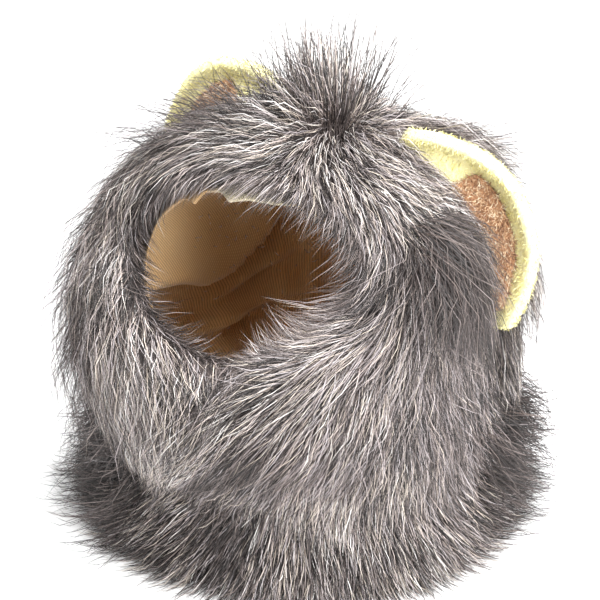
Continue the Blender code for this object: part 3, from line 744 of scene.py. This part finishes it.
def liningMaterial():
    # Brushed polyester tricot: knitted in fine wales about a millimetre apart, tan, matt, with a little sheen.
    material, tree, shader = newMaterial("brushedTricot", Roughness=0.8, IOR=1.5, Sheen_Weight=0.25,
                                         Sheen_Roughness=0.5)
    cloth = addNode(tree, "UVMap", uv_map="UVMap")
    girth, length = math.pi * hood["width"], 200  # mm round the hood, and from its lip to its hem
    wales = addNode(tree, "Mapping", {"Vector": addNode(tree, "Mapping", {
        "Vector": cloth.outputs["UV"], "Scale": (girth, length, 1)}).outputs["Vector"],
        "Rotation": (0, 0, math.radians(lining["waleTurn"]))})
    rib = addNode(tree, "TexWave", {
        "Vector": wales.outputs["Vector"], "Scale": math.tau / 20 / lining["waleSpacing"],
        "Distortion": 0.4, "Detail": 1.0, "Detail Scale": 0.3}, bands_direction="X")
    place = addNode(tree, "TexCoord")
    nap = addNode(tree, "TexNoise", {"Vector": place.outputs["Object"], "Scale": 900, "Detail": 3})
    stain = addNode(tree, "TexNoise", {"Vector": place.outputs["Object"], "Scale": 28, "Detail": 2})
    ground = addNode(tree, "ValToRGB", {"Fac": stain.outputs["Fac"]},
                     stops=((0.3, "#d6aa74"), (0.7, "#e5bf8b")))
    axes = addNode(tree, "SeparateXYZ", {"Vector": cloth.outputs["UV"]})
    edge = addNode(tree, "ValToRGB", {"Fac": axes.outputs["Y"]}, stops=((0.915, "#000000"), (0.945, "#ffffff")))
    brow = addNode(tree, "ValToRGB", {"Fac": axes.outputs["X"]}, stops=(
        (0.43, "#000000"), (0.46, "#ffffff"), (0.565, "#ffffff"), (0.59, "#000000")))
    both = addNode(tree, "Math", {0: edge.outputs["Color"], 1: brow.outputs["Color"]}, operation="MULTIPLY")
    turned = addNode(tree, "MixRGB", {
        "Fac": both.outputs["Value"], "Color1": ground.outputs["Color"], "Color2": hexColour("#f0e4c4")})
    groove = addNode(tree, "ValToRGB", {"Fac": rib.outputs["Fac"]}, stops=((0.0, "#b3a89c"), (0.5, "#ffffff")))
    colour = addNode(tree, "MixRGB", {
        "Fac": 0.7, "Color1": turned.outputs["Color"], "Color2": groove.outputs["Color"]},
                     blend_type="MULTIPLY")
    relief = addNode(tree, "Math", {0: rib.outputs["Fac"], 1: nap.outputs["Fac"]}, operation="ADD")
    bump = addNode(tree, "Bump", {"Height": relief.outputs["Value"], "Strength": 0.5, "Distance": 0.0005})
    tree.links.new(colour.outputs["Color"], shader.inputs["Base Color"])
    tree.links.new(bump.outputs["Normal"], shader.inputs["Normal"])
    return material


def makeLining():
    lowest = hemRing - lining["hemRise"] / (hood["collarHeight"] * 0.32)
    ringsDown = [-1, -0.5, 0, 0.12] + list(np.linspace(0.25, lowest, 90))
    piece = fabricTube("liningCloth", ringsDown, lining["columns"], liningAt)
    print("lining", round(sum(face.area for face in piece.data.polygons), 4), "square metres")
    wall = piece.modifiers.new("wall", "SOLIDIFY")
    wall.thickness, wall.offset = hood["liningWall"] * mm, -1
    applyModifiers(piece)
    piece.data.materials.append(liningMaterial())
    piece.data.shade_smooth()
    declare(piece, "lining", "lining")


makeLining()
print("lining")


# ---- ears: padded plush, cupped, with a tan panel in the cup

ear = {"voxel": 1.5, "panelVoxel": 1.2, "pressure": 3.0, "frames": 16, "cap": 1.6, "panelCap": 1.0}  # mm
plush = {  # mm: short cut pile
    "creamStrands": 8000, "creamLength": (1.2, 2.4), "creamWidth": 0.36,
    "tanStrands": 7000, "tanLength": (1.6, 3.4), "tanWidth": 0.3,
}
creamTones = ((0.0, "#f6ea98"), (0.35, "#fdf6ae"), (0.7, "#fffbc0"), (1.0, "#fffdd2"))
tanTones = ((0.0, "#4a3022"), (0.2, "#875d45"), (0.45, "#b78d6b"), (0.7, "#dcc09c"), (1.0, "#f6ead0"))


def plushMaterial(name, tones, ground, roughness):
    # Plush: polyester velboa, its cut pile brushed up, matt with a soft sheen.
    material, tree, shader = newMaterial(name, Roughness=roughness, IOR=1.5, Sheen_Weight=0.3,
                                         Sheen_Roughness=0.4)
    place = addNode(tree, "TexCoord")
    grain = addNode(tree, "TexNoise", {"Vector": place.outputs["Object"], "Scale": 1100, "Detail": 2})
    tuft = addNode(tree, "TexNoise", {"Vector": place.outputs["Object"], "Scale": 260, "Detail": 2})
    mottle = addNode(tree, "MixRGB", {
        "Fac": 0.5, "Color1": grain.outputs["Fac"], "Color2": tuft.outputs["Fac"]})
    colour = addNode(tree, "ValToRGB", {"Fac": mottle.outputs["Color"]}, stops=ground)
    bump = addNode(tree, "Bump", {"Height": mottle.outputs["Color"], "Strength": 0.6, "Distance": 0.0008})
    tree.links.new(colour.outputs["Color"], shader.inputs["Base Color"])
    tree.links.new(bump.outputs["Normal"], shader.inputs["Normal"])
    pileMaterial, tree, shader = newMaterial(name + "Pile", Roughness=roughness, IOR=1.5)
    across = addNode(tree, "SeparateXYZ", {"Vector": addNode(tree, "UVMap", uv_map="OFBake").outputs["UV"]})
    tone = addNode(tree, "ValToRGB", {"Fac": across.outputs["X"]}, stops=tones)
    # painted shade: each tuft is darker toward its root
    shade = addNode(tree, "ValToRGB", {"Fac": across.outputs["Y"]}, stops=((0.0, "#c8bcb0"), (0.6, "#ffffff")))
    colour = addNode(tree, "MixRGB", {
        "Fac": 1.0, "Color1": tone.outputs["Color"], "Color2": shade.outputs["Color"]}, blend_type="MULTIPLY")
    tree.links.new(colour.outputs["Color"], shader.inputs["Base Color"])
    return material, pileMaterial


def puff(piece, cap):  # inflates a closed pad like a stuffed one, and lets no point move further than cap
    start = np.array([v.co for v in piece.data.vertices])
    selectOnly(piece)
    cloth = piece.modifiers.new("stuffing", "CLOTH")
    cloth.settings.quality = 6
    cloth.settings.use_pressure = True
    cloth.settings.uniform_pressure_force = ear["pressure"]
    cloth.settings.effector_weights.gravity = 0
    cloth.settings.bending_stiffness = 0.3
    scene = bpy.context.scene
    for step in range(1, ear["frames"] + 1):
        scene.frame_set(step)
    bpy.ops.object.modifier_apply(modifier=cloth.name)
    scene.frame_set(1)
    moved = np.array([v.co for v in piece.data.vertices]) - start
    length = np.linalg.norm(moved, axis=-1, keepdims=True)
    moved *= np.minimum(1, cap * mm / np.maximum(length, 1e-9))
    piece.data.vertices.foreach_set("co", (start + moved).ravel())


def softPad(name, node, voxel, cap, material, slot):
    piece = bpy.data.objects.new(name, frame["nodes"][node].data.copy())
    bpy.context.scene.collection.objects.link(piece)
    piece.data.materials.clear()
    selectOnly(piece)
    bpy.ops.object.mode_set(mode="EDIT")
    bpy.ops.mesh.select_all(action="SELECT")
    bpy.ops.mesh.remove_doubles(threshold=0.00001)
    bpy.ops.object.mode_set(mode="OBJECT")
    remesh = piece.modifiers.new("voxels", "REMESH")
    remesh.mode, remesh.voxel_size = "VOXEL", voxel * mm
    applyModifiers(piece)
    puff(piece, cap)
    soften = piece.modifiers.new("soften", "SMOOTH")
    soften.factor, soften.iterations = 0.5, 4
    applyModifiers(piece)
    piece.data.materials.append(material)
    piece.data.shade_smooth()
    declare(piece, slot, node)
    return piece


def growPlush(name, pad, count, length, width, material, slot, node, rng, lean=0.8, curl=0.25):
    mesh = pad.data
    mesh.calc_loop_triangles()
    corners = np.array([t.vertices[:] for t in mesh.loop_triangles])
    co = np.array([v.co for v in mesh.vertices])
    up = np.array([v.normal for v in mesh.vertices])
    a, b, c = (co[corners[:, k]] for k in range(3))
    area = np.linalg.norm(np.cross(b - a, c - a), axis=-1)
    picked = np.searchsorted(np.cumsum(area) / area.sum(), rng.uniform(size=count)).clip(0, len(area) - 1)
    s, t = rng.uniform(size=(2, count))
    s, t = np.where(s + t > 1, 1 - s, s), np.where(s + t > 1, 1 - t, t)
    share = np.stack((1 - s - t, s, t), -1)[..., None]
    root = (co[corners[picked]] * share).sum(1)
    normal = unit((up[corners[picked]] * share).sum(1))
    lie = np.array((0, 0, -1)) + rng.normal(0, 0.7, (count, 3))
    lie -= normal * (lie * normal).sum(-1, keepdims=True)
    way = unit(normal + lean * unit(lie) * rng.uniform(0.5, 1.3, (count, 1)))
    size = rng.uniform(*length, count)[:, None] * mm
    knots = [root - normal * 0.2 * mm]
    for k in range(2):
        way = unit(way + rng.normal(0, curl, way.shape) + 0.35 * unit(lie))
        knots.append(knots[-1] + way * size / 2)
    points = np.stack(knots, 1)
    widths = width * mm * rng.uniform(0.7, 1.2, count)
    tone = np.clip(rng.normal(0.55, 0.25, count) + 0.2 * ripple(root, 0.008, 31), 0, 1)
    piece = strandMesh(name, points, normal, widths, tone, material, rng, taper=(1.0, 0.8))
    declare(piece, slot, node)


def makeEars():
    cream, creamPile = plushMaterial("creamVelboa", creamTones, ((0.35, "#fbf1b0"), (0.65, "#fffbcc")), 0.75)
    tan, tanPile = plushMaterial("tanVelboa", tanTones, ((0.35, "#7d5236"), (0.65, "#c1946c")), 0.8)
    rng = np.random.RandomState(23)
    pads = []
    for side in ("left", "right"):
        node, panel = f"ear_{side}", f"ear_{side}_inner"
        pad = softPad(f"{side}EarPad", node, ear["voxel"], ear["cap"], cream, "ear_plush")
        pads.append(pad)
        growPlush(f"{side}EarPile", pad, plush["creamStrands"], plush["creamLength"], plush["creamWidth"],
                  creamPile, "ear_plush", node, rng)
        inner = softPad(f"{side}EarPanel", panel, ear["panelVoxel"], ear["panelCap"], tan, "ear_panel")
        growPlush(f"{side}EarPanelPile", inner, plush["tanStrands"], plush["tanLength"], plush["tanWidth"],
                  tanPile, "ear_panel", panel, rng, curl=0.6)
    return pads


ears = makeEars()
print("ears")
growFur(ears)
print("fur")


# ---- floor, light and camera

view = {"azimuth": 30, "elevation": 27, "distance": 1.0, "frameWidth": 256, "imageWidth": 600,
        "neckPixel": (305, 489)}  # degrees, metres, mm across the frame, and where the neck's middle stands


def placeCamera():
    turn, rise = math.radians(view["azimuth"]), math.radians(view["elevation"])
    out = Vector((math.sin(turn) * math.cos(rise), -math.cos(turn) * math.cos(rise), math.sin(rise)))
    right = Vector((math.cos(turn), math.sin(turn), 0))
    up = out.cross(right)
    pixel = view["frameWidth"] * mm / view["imageWidth"]
    middle = view["imageWidth"] / 2
    target = (Vector((neckX, neckY, 0)) - right * (view["neckPixel"][0] - middle) * pixel
              + up * (view["neckPixel"][1] - middle) * pixel)
    bpy.ops.object.camera_add(location=target + out * view["distance"],
                              rotation=(-out).to_track_quat("-Z", "Y").to_euler())
    camera = bpy.context.object
    camera.data.sensor_width = 36
    camera.data.lens = 36 * view["distance"] / (view["frameWidth"] * mm)
    bpy.context.scene.camera = camera


def placeLight(name, place, size, energy):
    bpy.ops.object.light_add(type="AREA", location=place)
    light = bpy.context.object
    light.name = name
    light.data.size, light.data.energy = size, energy
    light.rotation_euler = (Vector((0, 0, 0.08)) - Vector(place)).to_track_quat("-Z", "Y").to_euler()


bpy.ops.object.select_all(action="DESELECT")
placeCamera()
placeLight("keyLight", (0.25, -0.12, 1.25), 1.0, 38)
placeLight("sideLight", (0.95, -0.4, 0.42), 0.4, 9)
world = bpy.data.worlds.new("studio")
world.use_nodes = True
world.node_tree.nodes["Background"].inputs["Color"].default_value = (1, 1, 1, 1)
world.node_tree.nodes["Background"].inputs["Strength"].default_value = 0.6
bpy.context.scene.world = world
bpy.context.scene.view_settings.view_transform = "Standard"

bpy.ops.mesh.primitive_plane_add(size=6)
floor = bpy.context.object
floor.name = "floor"
paper, paperTree, paperShader = newMaterial("whitePaper", Base_Color=hexColour("#f8f8f8"), Roughness=0.9)
floor.data.materials.append(paper)
print("floor, light and camera")
